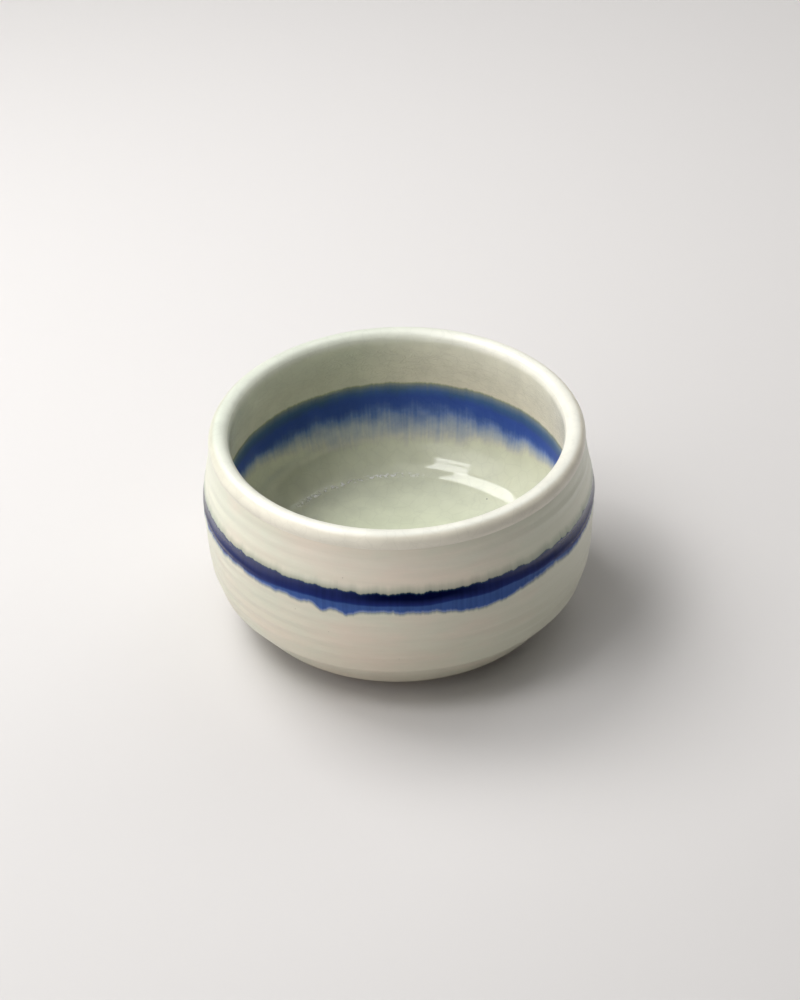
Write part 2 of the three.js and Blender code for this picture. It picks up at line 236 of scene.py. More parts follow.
def wheel(name, side, waves=(), runs=()):
    """The tree that throws a piece: it sweeps the rows of a section once round, then sets each row at its
    distance down a line of the pot and its depth under it. A row that follows a band's foot sinks by the
    waves and runs there, and one that follows a band's top wavers as the brush did."""
    tree = bpy.data.node_groups.new(name, "GeometryNodeTree")
    kinds = {"Rows": "Geometry", "Line": "Object", "Facets": "Int", "Closed": "Bool", "Finish": "Material"}
    measures = ["Band Top", "Band Foot", "Ring Height", "Ring Pitch", "First Ridge", "Ring Start"]
    measures += ["Ring End", "Tooth Height", "Tooth Width", "Finger Marks"]
    for label, kind in {**kinds, **dict.fromkeys(measures, "Float")}.items():
        tree.interface.new_socket(label, in_out="INPUT", socket_type="NodeSocket" + kind)
    tree.interface.new_socket("Piece", in_out="OUTPUT", socket_type="NodeSocketGeometry")
    given = node(tree, "NodeGroupInput").outputs

    # One turn of the wheel. The angle is kept from the circle's own points, before the rows go round it
    circle = node(tree, "GeometryNodeCurvePrimitiveCircle", {"Resolution": given["Facets"]})
    where = node(tree, SPLIT, {0: node(tree, "GeometryNodeInputPosition")})
    turn = node(tree, MATHS, {0: where.outputs[1], 1: where.outputs[0]}, operation="ARCTAN2")
    store = "GeometryNodeStoreNamedAttribute"
    kept = node(tree, store, {"Geometry": circle, "Name": "angle", "Value": turn})
    rows = node(tree, "GeometryNodeMeshToCurve", {0: given["Rows"]})
    closed = node(tree, "GeometryNodeSetSplineCyclic", {"Geometry": rows, "Cyclic": given["Closed"]})
    swept = node(tree, "GeometryNodeCurveToMesh", {"Curve": kept, "Profile Curve": closed})
    angle, down, depth, by_top, by_foot = [
        node(tree, "GeometryNodeInputNamedAttribute", {"Name": label})
        for label in ("angle", "down", "depth", "by_top", "by_foot")
    ]

    # How far the band's foot hangs at this angle: slow waves, then the runs and drips one by one
    hang = None
    for height, count, phase in waves:
        wave = node(tree, MATHS, {0: angle, 1: count, 2: phase}, operation="MULTIPLY_ADD")
        wave = node(tree, MATHS, {0: wave}, operation="SINE")
        wave = node(tree, MATHS, {0: wave, 1: height * MM}, operation="MULTIPLY")
        hang = node(tree, MATHS, {0: wave, 1: hang or 0.0}, operation="ADD")
    for at, spread, drop in runs:
        # the angle runs from +X and a run's place from the front, so a quarter turn lies between them
        away = node(tree, MATHS, {0: angle, 1: math.radians(at - 90)}, operation="SUBTRACT")
        away = node(tree, MATHS, {0: away, 1: math.pi, 2: -math.pi}, operation="WRAP")
        away = node(tree, MATHS, {0: away, 1: math.radians(spread)}, operation="DIVIDE")
        away = node(tree, MATHS, {0: away, 1: away}, operation="MULTIPLY")
        away = node(tree, MATHS, {0: math.exp(-1), 1: away}, operation="POWER")
        hang = node(tree, MATHS, {0: away, 1: drop * MM, 2: hang or 0.0}, operation="MULTIPLY_ADD")

    # The ragged edge that a loaded brush leaves: fine teeth along the top and finer lobes along the foot
    cosine, sine = [node(tree, MATHS, {0: angle}, operation=wave) for wave in ("COSINE", "SINE")]
    round_it = node(tree, JOIN, {0: cosine, 1: sine})
    teeth_at = node(tree, MATHS, {0: BELLY_RADIUS * MM, 1: given["Tooth Width"]}, operation="DIVIDE")
    ragged = {}
    for label, seed in (("top", 3.0), ("foot", 8.0)):
        grain = {"Vector": round_it, "W": seed, "Scale": teeth_at, "Detail": 4.0, "Roughness": 0.72}
        rough = node(tree, NOISE, grain, noise_dimensions="4D")
        rough = node(tree, MATHS, {0: rough.outputs[0], 1: 0.5}, operation="SUBTRACT")
        rough = node(tree, MATHS, {0: rough, 1: given["Tooth Height"]}, operation="MULTIPLY")
        ragged[label] = node(tree, MATHS, {0: rough, 1: 2.0}, operation="MULTIPLY")
    low_edge = node(tree, MATHS, {0: ragged["foot"], 1: hang or 0.0}, operation="ADD")
    foot = node(tree, MATHS, {0: low_edge, 1: by_foot}, operation="MULTIPLY")
    reach = node(tree, MATHS, {0: ragged["top"], 1: by_top, 2: foot}, operation="MULTIPLY_ADD")
    reach = node(tree, MATHS, {0: down, 1: reach}, operation="ADD")

    # The rings: a ridge to each pitch, dying out at the ends of the wall, and the fingers' unevenness
    ring = node(tree, MATHS, {0: reach, 1: given["First Ridge"]}, operation="SUBTRACT")
    ring = node(tree, MATHS, {0: ring, 1: given["Ring Pitch"]}, operation="DIVIDE")
    ring = node(tree, MATHS, {0: ring, 1: math.tau}, operation="MULTIPLY")
    ring = node(tree, MATHS, {0: ring}, operation="COSINE")
    ring = node(tree, MATHS, {0: ring, 1: given["Ring Height"]}, operation="MULTIPLY")
    slow = node(tree, MATHS, {0: reach, 1: RINGS_ALIKE * MM}, operation="DIVIDE")
    slow_at = node(tree, JOIN, {2: slow})
    slow_at = node(tree, VECTOR, {0: slow_at, 1: round_it}, operation="ADD")
    slow = node(tree, NOISE, {"Vector": slow_at, "Scale": 1.0, "Detail": 1.0})
    slow = node(tree, RANGE, {0: slow.outputs[0], 1: 0.35, 2: 0.65, 3: 0.15, 4: 1.5})
    ring = node(tree, MATHS, {0: ring, 1: slow}, operation="MULTIPLY")
    fades = []
    for end, full in (("Ring Start", RING_RISE), ("Ring End", -RING_FALL)):
        full = node(tree, MATHS, {0: given[end], 1: full * MM}, operation="ADD")
        ends = {0: reach, 1: given[end], 2: full, 3: 0.0, 4: 1.0}
        fades.append(node(tree, RANGE, ends, interpolation_type="SMOOTHSTEP"))
    fade = node(tree, MATHS, {0: fades[0], 1: fades[1]}, operation="MULTIPLY")
    along_turn = node(tree, VECTOR, {0: round_it, "Scale": MARKS_PER_RADIAN}, operation="SCALE")
    down_at = node(tree, MATHS, {0: reach, 1: MARK_LENGTH * MM}, operation="DIVIDE")
    down_at = node(tree, JOIN, {2: down_at})
    marks_at = node(tree, VECTOR, {0: along_turn, 1: down_at}, operation="ADD")
    marks = node(tree, NOISE, {"Vector": marks_at, "Scale": 1.0, "Detail": 3.0})
    marks = node(tree, MATHS, {0: marks.outputs[0], 1: 0.5}, operation="SUBTRACT")
    marks = node(tree, MATHS, {0: marks, 1: given["Finger Marks"], 2: ring}, operation="MULTIPLY_ADD")
    marks = node(tree, MATHS, {0: marks, 1: fade}, operation="MULTIPLY")
    on_face = node(tree, MATHS, {0: depth, 1: FACE_DEPTH * MM}, operation="LESS_THAN")
    marks = node(tree, MATHS, {0: marks, 1: on_face}, operation="MULTIPLY")
    inwards = node(tree, MATHS, {0: depth, 1: marks}, operation="SUBTRACT")
    inwards = node(tree, MATHS, {0: inwards, 1: side}, operation="MULTIPLY")

    # The place on the line, its way down, and the step into the clay square to it
    line = node(tree, "GeometryNodeObjectInfo", {"Object": given["Line"]}).outputs["Geometry"]
    sampled = {"Curves": line, "Length": reach}
    spot = node(tree, "GeometryNodeSampleCurve", sampled, mode="LENGTH", use_all_curves=True)
    at = node(tree, SPLIT, {0: spot.outputs["Position"]})
    way = node(tree, SPLIT, {0: spot.outputs["Tangent"]})
    radius = node(
        tree, MATHS, {0: inwards, 1: way.outputs[2], 2: at.outputs[0]}, operation="MULTIPLY_ADD"
    )
    drop = node(tree, MATHS, {0: inwards, 1: way.outputs[0]}, operation="MULTIPLY")
    level = node(tree, MATHS, {0: at.outputs[2], 1: drop}, operation="SUBTRACT")
    flat = node(tree, VECTOR, {0: round_it, "Scale": radius}, operation="SCALE")
    up = node(tree, JOIN, {2: level})
    there = node(tree, VECTOR, {0: flat, 1: up}, operation="ADD")
    thrown = node(tree, "GeometryNodeSetPosition", {"Geometry": swept, "Position": there})

    # What the glazes need to know of each place: its distance down the wall, and past the band's two edges
    for label, edge, ragged_edge in (
        ("down_wall", 0.0, 0.0),
        ("past_top", given["Band Top"], ragged["top"]),
        ("past_foot", given["Band Foot"], low_edge),
    ):
        past = node(tree, MATHS, {0: reach, 1: edge}, operation="SUBTRACT")
        past = node(tree, MATHS, {0: past, 1: ragged_edge}, operation="SUBTRACT")
        thrown = node(tree, store, {"Geometry": thrown, "Name": label, "Value": past})
    pole = node(tree, "GeometryNodeMergeByDistance", {"Geometry": thrown, "Distance": POLE_GAP * MM})
    single = node(tree, "GeometryNodeRealizeInstances", {0: pole})
    dressed = node(tree, "GeometryNodeSetMaterial", {"Geometry": single, "Material": given["Finish"]})
    node(tree, "NodeGroupOutput", {0: dressed})
    return tree


def line_object(name, points):
    """A line of the pot's section as a curve in the XZ plane, for the wheel's tree to read"""
    curve = bpy.data.curves.new(name, "CURVE")
    curve.dimensions = "3D"
    spline = curve.splines.new("POLY")
    spline.points.add(len(points) - 1)
    for point, (radius, height) in zip(spline.points, points):
        point.co = (radius * MM, 0, height * MM, 1)
    made = bpy.data.objects.new(name, curve)
    bpy.context.scene.collection.objects.link(made)
    return made


def throw(name, tree, rows, closed, slot, finish, **sizes):
    """Makes one piece on the wheel. A row is (distance down the line, depth, share of the band's top edge,
    share of its foot), in mm. The result is a plain mesh that rides with the bowl."""
    mesh = bpy.data.meshes.new(name + "_rows")
    mesh.from_pydata(
        [(i * MM, 0, 0) for i in range(len(rows))], [(i, i + 1) for i in range(len(rows) - 1)], []
    )
    for k, (label, unit) in enumerate([("down", MM), ("depth", MM), ("by_top", 1), ("by_foot", 1)]):
        values = mesh.attributes.new(label, "FLOAT", "POINT").data
        for value, row in zip(values, rows):
            value.value = row[k] * unit
    rows_object = bpy.data.objects.new(name + "_rows", mesh)
    bpy.context.scene.collection.objects.link(rows_object)
    on_wheel = rows_object.modifiers.new("Wheel", "NODES")
    on_wheel.node_group = tree
    sizes.update({"Closed": closed, "Finish": finish})
    for item in tree.interface.items_tree:
        if item.in_out == "INPUT" and item.name in sizes:
            on_wheel[item.identifier] = sizes[item.name]
    seen = rows_object.evaluated_get(bpy.context.evaluated_depsgraph_get())
    thrown = bpy.data.meshes.new_from_object(seen)
    rows_object.modifiers.remove(on_wheel)
    bpy.data.objects.remove(rows_object)
    thrown.name = name
    for label in ("down", "depth", "by_top", "by_foot", "angle"):
        thrown.attributes.remove(thrown.attributes[label])
    piece = bpy.data.objects.new(name, thrown)
    bpy.context.scene.collection.objects.link(piece)
    thrown.set_sharp_from_angle(angle=math.radians(SHARP_DEGREES))
    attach(piece, "root")
    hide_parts(name)


def colour(code):
    """An sRGB hex colour as linear RGBA"""
    parts = [int(code[i : i + 2], 16) / 255 for i in (1, 3, 5)]
    return (*[p / 12.92 if p <= 0.04045 else ((p + 0.055) / 1.055) ** 2.4 for p in parts], 1.0)


def blank_material(name):
    """A new material without nodes, and its tree"""
    made = bpy.data.materials.new(name)
    made.use_nodes = True
    made.node_tree.nodes.clear()
    return made, made.node_tree


def grade(ramp, stops):
    """Sets the colours of a ramp, each at its place from 0 to 1, in rising order"""
    places = ramp.color_ramp.elements
    places.remove(places[1])
    for i, (at, code) in enumerate(stops):
        stop = places.new(at) if i else places[0]
        stop.position = at
        stop.color = colour(code)


# Buff stoneware, fired and left bare. It is matt and a little sandy, toasted where the kiln's heat met it,
# with the fine rings of the turning tool and dark specks of iron.
stoneware, tree = blank_material("buff stoneware, turned and fired")
TURNING_PITCH = 0.7 * MM
GRIT = 0.35 * MM
IRON_SPACING = 3.2 * MM
at_object = node(tree, "ShaderNodeTexCoord").outputs["Object"]
toast = node(tree, NOISE, {"Vector": at_object, "Scale": 55.0, "Detail": 3.0})
toasted = node(tree, RAMP, {0: toast})
grade(toasted, [(0.35, "#ab9275"), (0.68, "#cbb897")])
iron = node(tree, CELLS, {"Vector": at_object, "Scale": 1 / IRON_SPACING})
iron_speck = node(tree, RANGE, {0: iron.outputs["Distance"], 1: 0.07, 2: 0.12, 3: 1.0, 4: 0.0})
specked = node(tree, MIX, {0: iron_speck, 6: toasted, 7: colour("#5f4a38")}, data_type="RGBA")
grit = node(tree, NOISE, {"Vector": at_object, "Scale": 1 / GRIT, "Detail": 2.0})
reach_out = node(tree, VECTOR, {0: at_object, 1: (1, 1, 0)}, operation="MULTIPLY")
reach_out = node(tree, VECTOR, {0: reach_out}, operation="LENGTH").outputs["Value"]
turning = node(tree, MATHS, {0: reach_out, 1: math.tau / TURNING_PITCH}, operation="MULTIPLY")
turning = node(tree, MATHS, {0: turning}, operation="SINE")
relief = node(tree, MATHS, {0: turning, 1: 0.35, 2: grit}, operation="MULTIPLY_ADD")
rough_face = node(tree, BUMP, {"Height": relief, "Strength": 0.5, "Distance": 0.08 * MM})
clay_shader = node(
    tree,
    SURFACE,
    {"Base Color": specked.outputs[2], "Roughness": 0.85, "IOR": 1.5, "Normal": rough_face},
)
node(tree, OUTPUT, {0: clay_shader})

clay_object = line_object("clay_line", clay_line)
clay_rows = [0.0]
for a, b in zip(clay_line, clay_line[1:]):
    start = clay_rows[-1]
    clay_rows += [start + s for s in steps(0, math.dist(a, b), CLAY_STEP)[1:]]
throw(
    "clay_body",
    wheel("Turned clay", 1),
    [(down, 0, 0, 0) for down in clay_rows],
    False,
    "stoneware",
    stoneware,
    Line=clay_object,
    Facets=CLAY_FACETS,
)

# The liner glaze. Celadon, poured into the bowl and rolled over the lip, glossy and pale green where it
# pools. A channel round its wall holds the cobalt that was brushed on and melted into it.
CHANNEL = 0.4
INNER_TOP = LIP_LENGTH + 17.6
INNER_FOOT = INNER_TOP + 12.4
INNER_SAG = 4.2
# The waves in the band's foot: their height in mm, how many come to a turn, and their start in radians
INNER_WAVES = [(INNER_SAG, 1, 0), (0.35, 11, 0), (0.25, 23, 2)]
INSIDE_FACETS = 640
COBALT_STAIN = "#4566d5"
CLOUD = 7 * MM
CRAZING_CELL = 4.5 * MM
CRAZING_BEND = 2 * MM
CRAZING_SWING = 1.2 * MM
STREAK_WIDTHS = (0.9 * MM, 4.5 * MM)
STREAK_LENGTHS = (14 * MM, 20 * MM)
FRAYING = (0.7 * MM, 1.6 * MM)
BRUSH_EDGE_START = 1.6 * MM
BRUSH_EDGE = 8 * MM
SPECK_SPACING = 9 * MM
PIT = 1.1 * MM
PITS_AT = WELL_AT - 1.3
IRON_SPOT = (28.3 * MM, 27.3 * MM, 16.9 * MM)
RIPPLE = 5 * MM
FINE_RING = 2.4 * MM
WRINKLE = 4 * MM


def glaze(name):
    """A blank glaze, its tree, and what its pattern starts from: the place on the bowl, the distances down
    the wall and past the band's top and foot, and the way out from the bowl's axis"""
    made, tree = blank_material(name)
    at_object = node(tree, "ShaderNodeTexCoord").outputs["Object"]
    distances = [
        node(tree, "ShaderNodeAttribute", attribute_name=label).outputs["Fac"]
        for label in ("down_wall", "past_top", "past_foot")
    ]
    outwards = node(tree, VECTOR, {0: at_object, 1: (1, 1, 0)}, operation="MULTIPLY")
    outwards = node(tree, VECTOR, {0: outwards}, operation="NORMALIZE")
    return made, tree, at_object, *distances, outwards


def nearness(tree, outwards, at, far, close, low=0.0, high=1.0):
    """How near the glaze is to a place round the bowl, in degrees from the front and positive to the right:
    low from far degrees away, and high from close"""
    turn = math.radians(at - 90)
    way = (math.cos(turn), math.sin(turn), 0)
    facing = node(tree, VECTOR, {0: outwards, 1: way}, operation="DOT_PRODUCT").outputs["Value"]
    far, close = math.cos(math.radians(far)), math.cos(math.radians(close))
    return node(tree, RANGE, {0: facing, 1: far, 2: close, 3: low, 4: high})


def celadon(name, specks, shine):
    """Celadon: a glassy feldspar glaze, pale green with iron, poured and then fired in smoke. It is glossy
    and a little deeper where it is thick, creamy where it thins over the lip, and crazed with fine lines.
    Its colour also holds painted light: a painted highlight over the lip's crown, painted shade on the lip
    and upper wall at the back left, and painted glints on the pits by the pool's step.
    The cobalt melts into it: olive at the brush's edge, deep blue under it, drawn out in streaks below."""
    made, tree, at_object, down, past_top, past_foot, outwards = glaze(name)

    # How thick the glaze lies: thin over the lip, thicker down the wall, pooled on the floor. The lip is
    # pale where the glaze thins, and palest over its crown, where that paleness is a painted highlight
    part = node(tree, MATHS, {0: down, 1: INSIDE_LENGTH * MM}, operation="DIVIDE")
    body = node(tree, RAMP, {0: part})
    by_distance = [
        (0, "#e4decf"),
        (LIP_LENGTH * 0.22, "#e4dece"),
        (LIP_LENGTH * 0.36, "#e0dac9"),
        # painted highlight: the lip's crown is painted palest where the light catches it
        (LIP_LENGTH * 0.45, "#ebeade"),
        (LIP_LENGTH * 0.75, "#e6e4d8"),
        (LIP_LENGTH + 1, "#e4dfd1"),
        (INNER_TOP, "#e3dacb"),
        (INNER_FOOT, "#d8d8c2"),
        (INSIDE_LENGTH, "#d0d6bb"),
    ]
    grade(body, [(distance / INSIDE_LENGTH, code) for distance, code in by_distance])
    cloud = node(tree, NOISE, {"Vector": at_object, "Scale": 1 / CLOUD, "Detail": 4.0})
    clouded = node(tree, RANGE, {0: cloud, 1: 0.3, 2: 0.7, 3: 0.93, 4: 1.03})
    body = node(tree, VECTOR, {0: body, "Scale": clouded.outputs[0]}, operation="SCALE")

    # Crazing: a net of hairlines, each as wide as it needs to be to show
    bent = node(tree, NOISE, {"Vector": at_object, "Scale": 1 / CRAZING_BEND})
    bent = node(tree, VECTOR, {0: bent.outputs["Color"], "Scale": CRAZING_SWING}, operation="SCALE")
    bent = node(tree, VECTOR, {0: at_object, 1: bent}, operation="ADD")
    net = node(tree, CELLS, {"Vector": bent, "Scale": 1 / CRAZING_CELL}, feature="DISTANCE_TO_EDGE")
    hairline = node(tree, RANGE, {0: net, 1: 0.0, 2: 0.05, 3: 0.95, 4: 1.0})
    body = node(tree, VECTOR, {0: body, "Scale": hairline.outputs[0]}, operation="SCALE")

    # Painted shade: the lip and the upper wall are darker and greener towards the back left, fading out down
    # the wall
    painted_shade = nearness(tree, outwards, -130, 85, 35)
    below = {0: down, 1: (LIP_LENGTH - 1) * MM, 2: (LIP_LENGTH + 2) * MM}
    narrow = node(tree, RANGE, {**below, 3: 1.0, 4: 3.0})
    painted_shade = node(tree, MATHS, {0: painted_shade, 1: narrow}, operation="POWER")
    strong = node(tree, RANGE, {**below, 3: 0.7, 4: 0.95})
    painted_shade = node(tree, MATHS, {0: painted_shade, 1: strong}, operation="MULTIPLY")
    dying = node(tree, RANGE, {0: down, 1: INNER_TOP * MM, 2: WELL_AT * MM, 3: 1.0, 4: 0.0})
    painted_shade = node(tree, MATHS, {0: painted_shade, 1: dying}, operation="MULTIPLY")
    shade_tint = node(tree, MIX, {0: painted_shade, 6: (1, 1, 1, 1), 7: colour("#dce5e0")}, data_type="RGBA")
    body = node(tree, VECTOR, {0: body, 1: shade_tint.outputs[2]}, operation="MULTIPLY")

    # Streaks in the cobalt, fine round the bowl and long down it, with broader ones among them
    streaks = []
    for width, drawn, seed in zip(STREAK_WIDTHS, STREAK_LENGTHS, (1.0, 5.0)):
        round_it = node(
            tree, VECTOR, {0: outwards, "Scale": INSIDE_RADIUS * MM / width}, operation="SCALE"
        )
        low = node(tree, MATHS, {0: past_top, 1: drawn}, operation="DIVIDE")
        low = node(tree, JOIN, {2: low})
        at = node(tree, VECTOR, {0: round_it, 1: low}, operation="ADD")
        grain = {"Vector": at, "W": seed, "Scale": 1.0, "Detail": 1.5}
        streaks.append(node(tree, NOISE, grain, noise_dimensions="4D"))
    width = node(tree, MATHS, {0: past_top, 1: past_foot}, operation="SUBTRACT")
    share = node(tree, MATHS, {0: past_top, 1: width}, operation="DIVIDE")
    # The cobalt ran furthest at the back, where the bowl leaned in the kiln, and stopped short at the sides
    back = (180, 53.1, 18.2)
    spread = nearness(tree, outwards, *back, -1.0, -0.76)
    share = node(tree, MATHS, {0: share, 1: spread, 2: 1.0}, operation="MULTIPLY_ADD")
    abrupt = nearness(tree, outwards, *back, -1.6, -1.0)
    share = node(tree, MATHS, {0: share, 1: abrupt, 2: 1.0}, operation="MULTIPLY_ADD")
    for streak, shift in zip([*streaks, cloud], (0.2, 0.22, 0.4)):
        sway = node(tree, MATHS, {0: streak, 1: 0.5}, operation="SUBTRACT")
        share = node(tree, MATHS, {0: sway, 1: shift, 2: share}, operation="MULTIPLY_ADD")

    # What the cobalt lets through as it thins out down the wall
    fading = node(tree, RAMP, {0: share})
    grade(
        fading,
        [
            (0.0, "#3c58bc"),
            (0.16, COBALT_STAIN),
            (0.31, "#4b6cd9"),
            (0.41, "#6280e0"),
            (0.47, "#7592f0"),
            (0.59, "#a2b6f7"),
            (0.75, "#d1d7fb"),
            (0.9, "#f6f4fd"),
            (1.0, "#ffffff"),
        ],
    )

    # At the brush's edge the cobalt turns olive, and the edge is frayed like the streaks below it
    frayed = past_top
    for streak, shift in zip(streaks, FRAYING):
        fray = node(tree, MATHS, {0: streak, 1: 0.5}, operation="SUBTRACT")
        frayed = node(tree, MATHS, {0: fray, 1: shift, 2: frayed}, operation="MULTIPLY_ADD")
    frayed = node(tree, MATHS, {0: frayed, 1: BRUSH_EDGE_START}, operation="ADD")
    frayed = node(tree, MATHS, {0: frayed, 1: BRUSH_EDGE}, operation="DIVIDE")
    edge = node(tree, RAMP, {0: frayed})
    grade(
        edge,
        [
            (0.0, "#ffffff"),
            (0.11, "#a0b08f"),
            (0.25, "#7b9577"),
            (0.46, "#557a80"),
            (0.66, "#4a6db8"),
            (0.87, COBALT_STAIN),
        ],
    )
    stain = node(tree, MIX, {0: 1.0, 6: edge, 7: fading}, data_type="RGBA", blend_type="LIGHTEN")
    stained = node(tree, VECTOR, {0: body, 1: stain.outputs[2]}, operation="MULTIPLY")

    # A few iron specks, and the broken line of pits where the glaze pooled against its step. On the back
    # left the pits are painted near white as glints
    speck = node(tree, CELLS, {"Vector": at_object, "Scale": 1 / SPECK_SPACING})
    small = node(tree, RANGE, {0: speck.outputs["Distance"], 1: 0.018, 2: 0.03, 3: 1.0, 4: 0.0})
    chosen = node(tree, SPLIT, {0: speck.outputs["Color"]})
    chosen = node(tree, MATHS, {0: chosen, 1: 1 - specks}, operation="GREATER_THAN")
    speck = node(tree, MATHS, {0: small, 1: chosen}, operation="MULTIPLY")
    specked = node(tree, MIX, {0: speck, 6: stained, 7: colour("#5c5648")}, data_type="RGBA")
    iron = node(tree, VECTOR, {0: at_object, 1: IRON_SPOT}, operation="DISTANCE").outputs["Value"]
    iron = node(tree, RANGE, {0: iron, 1: 0.15 * MM, 2: 0.35 * MM, 3: 0.85, 4: 0.0})
    specked = node(tree, MIX, {0: iron, 6: specked.outputs[2], 7: colour("#33322c")}, data_type="RGBA")
    from_step = node(tree, MATHS, {0: down, 1: PITS_AT * MM}, operation="SUBTRACT")
    from_step = node(tree, MATHS, {0: from_step}, operation="ABSOLUTE")
    at_step = node(tree, RANGE, {0: from_step, 1: 0.3 * MM, 2: 1.1 * MM, 3: 1.0, 4: 0.0})
    # the pits and their painted glints lie only on the back left, where the light would catch them
    there = nearness(tree, outwards, -160, 34, 20)
    at_step = node(tree, MATHS, {0: at_step, 1: there}, operation="MULTIPLY")
    pits = node(tree, NOISE, {"Vector": at_object, "Scale": 1 / PIT, "Detail": 2.0})
    pits = node(tree, RANGE, {0: pits, 1: 0.5, 2: 0.58, 3: 0.0, 4: 1.0})
    pits = node(tree, MATHS, {0: pits, 1: at_step}, operation="MULTIPLY")
    # painted glints: the pits' colour is lifted to near white
    painted_glint = node(tree, MATHS, {0: pits, 1: 0.95}, operation="MULTIPLY")
    specked = node(tree, MIX, {0: painted_glint, 6: specked.outputs[2], 7: colour("#fbfbf6")}, data_type="RGBA")

    # The face: pits, a slight ripple with the wheel's fine rings in it, and wrinkles near the top
    fine = node(tree, MATHS, {0: down, 1: math.tau / FINE_RING}, operation="MULTIPLY")
    fine = node(tree, MATHS, {0: fine}, operation="SINE")
    fine = node(tree, MATHS, {0: fine, 1: cloud}, operation="MULTIPLY")
    pitted = node(tree, BUMP, {"Height": pits, "Strength": 1.0, "Distance": 0.3 * MM})
    rippled = node(tree, NOISE, {"Vector": at_object, "Scale": 1 / RIPPLE, "Detail": 2.0})
    rippled = node(tree, MATHS, {0: fine, 1: 0.35, 2: rippled}, operation="MULTIPLY_ADD")
    rippled = node(
        tree, BUMP, {"Height": rippled, "Strength": 0.12, "Distance": 0.1 * MM, "Normal": pitted}
    )
    # The upper wall is finely wrinkled, where the glaze crawled a little as it dried
    crawled = node(tree, VECTOR, {0: at_object, 1: (1, 1, 2.4)}, operation="MULTIPLY")
    crawled = node(
        tree, NOISE, {"Vector": crawled, "Scale": 1 / WRINKLE, "Detail": 2.0, "Distortion": 0.8}
    )
    crawled = node(tree, MATHS, {0: crawled, 1: 0.5}, operation="SUBTRACT")
    crawled = node(tree, MATHS, {0: crawled}, operation="ABSOLUTE")
    crawled = node(tree, RANGE, {0: crawled, 1: 0.0, 2: 0.06, 3: 1.0, 4: 0.0})
    upper = node(
        tree, RANGE, {0: down, 1: (INNER_TOP - 5) * MM, 2: (INNER_TOP + 3) * MM, 3: 1.0, 4: 0.0}
    )
    under_lip = node(
        tree, RANGE, {0: down, 1: LIP_LENGTH * MM, 2: (LIP_LENGTH + 4) * MM, 3: 0.0, 4: upper}
    )
    crawled = node(tree, MATHS, {0: crawled, 1: under_lip}, operation="MULTIPLY")
    rippled = node(
        tree, BUMP, {"Height": crawled, "Strength": 0.6, "Distance": 0.12 * MM, "Normal": rippled}
    )

    # The lip and the cobalt have less gloss than the open wall, where the glaze lies thick
    gloss = node(
        tree, RANGE, {0: down, 1: 0.6 * LIP_LENGTH * MM, 2: (LIP_LENGTH + 6) * MM, 3: 0.3, 4: 0.2}
    )
    gloss = node(
        tree, RANGE, {0: down, 1: (INNER_TOP + 4) * MM, 2: (INNER_FOOT + 3) * MM, 3: gloss, 4: 0.07}
    )
    mirror = node(tree, RANGE, {0: share, 1: 0.45, 2: 0.95, 3: shine, 4: 0.5})
    face = {"Base Color": specked.outputs[2], "Roughness": gloss, "IOR": 1.5, "Normal": rippled}
    shader = node(tree, SURFACE, {**face, "Specular IOR Level": mirror})
    node(tree, OUTPUT, {0: shader})
    return made


inside_object = line_object("inside_line", inside)
inside_wheel = wheel("Thrown inside", -1, waves=INNER_WAVES)
inside_sizes = {
    "Line": inside_object,
    "Facets": INSIDE_FACETS,
    "Band Top": INNER_TOP * MM,
    "Band Foot": INNER_FOOT * MM,
    "Ring Height": 0.02 * MM,
    "Ring Pitch": 7 * MM,
    "First Ridge": LIP_LENGTH * MM,
    "Ring Start": (LIP_LENGTH + 2) * MM,
    "Ring End": (WELL_AT - 2) * MM,
    "Tooth Height": 0.15 * MM,
    "Tooth Width": 4 * MM,
    "Finger Marks": 0.02 * MM,
}


def free_rows(start, end, size, depth=0):
    """Rows of a section that follow no band, in equal steps down the line"""
    return [(down, depth, 0, 0) for down in steps(start, end, size)]


# The rows near a band's edge share its waves and teeth, and are free of them this far above and below it
EASE_ABOVE = 3
INNER_EASE = 12
under_foot = steps(INNER_FOOT, INNER_FOOT + INNER_EASE, 0.9)[1:]
inner_width = INNER_FOOT - INNER_TOP
# Across the channel's bottom, from the band's foot to its top
inner_channel = [
    (INNER_TOP + part * inner_width, CHANNEL, 1 - part, part) for part in steps(1, 0, 0.1)[1:-1]
]
liner_rows = (
    free_rows(INSIDE_LENGTH, WELL_AT + 2, 2)
    + free_rows(WELL_AT + 1.5, WELL_AT - 0.6, 0.25)
    + free_rows(WELL_AT - 1, INNER_FOOT + INNER_EASE + 0.9, 0.7)
    + [(down, 0, 0, 1 - (down - INNER_FOOT) / INNER_EASE) for down in reversed(under_foot)]
    + [(INNER_FOOT, 0, 0, 1), (INNER_FOOT, CHANNEL, 0, 1)]
    + inner_channel
    + [(INNER_TOP, CHANNEL, 1, 0), (INNER_TOP, 0, 1, 0)]
    + [
        (down, 0, max(0, 1 - (INNER_TOP - down) / EASE_ABOVE), 0)
        for down in steps(INNER_TOP - 0.7, LIP_LENGTH, 0.9)
    ]
    + free_rows(LIP_LENGTH, 0, 0.45)[1:]
    + free_rows(0, LIP_LENGTH, 1, GLAZE)
    + free_rows(LIP_LENGTH + 3, WELL_AT - 3.5, 3, GLAZE)
    + free_rows(WELL_AT + 3, INSIDE_LENGTH, 6, GLAZE)
)
throw(
    "liner_glaze",
    inside_wheel,
    liner_rows,
    False,
    "celadon_glaze",
    celadon("celadon glaze, poured and crazed", 0.3, 0.5),
    **inside_sizes,
)

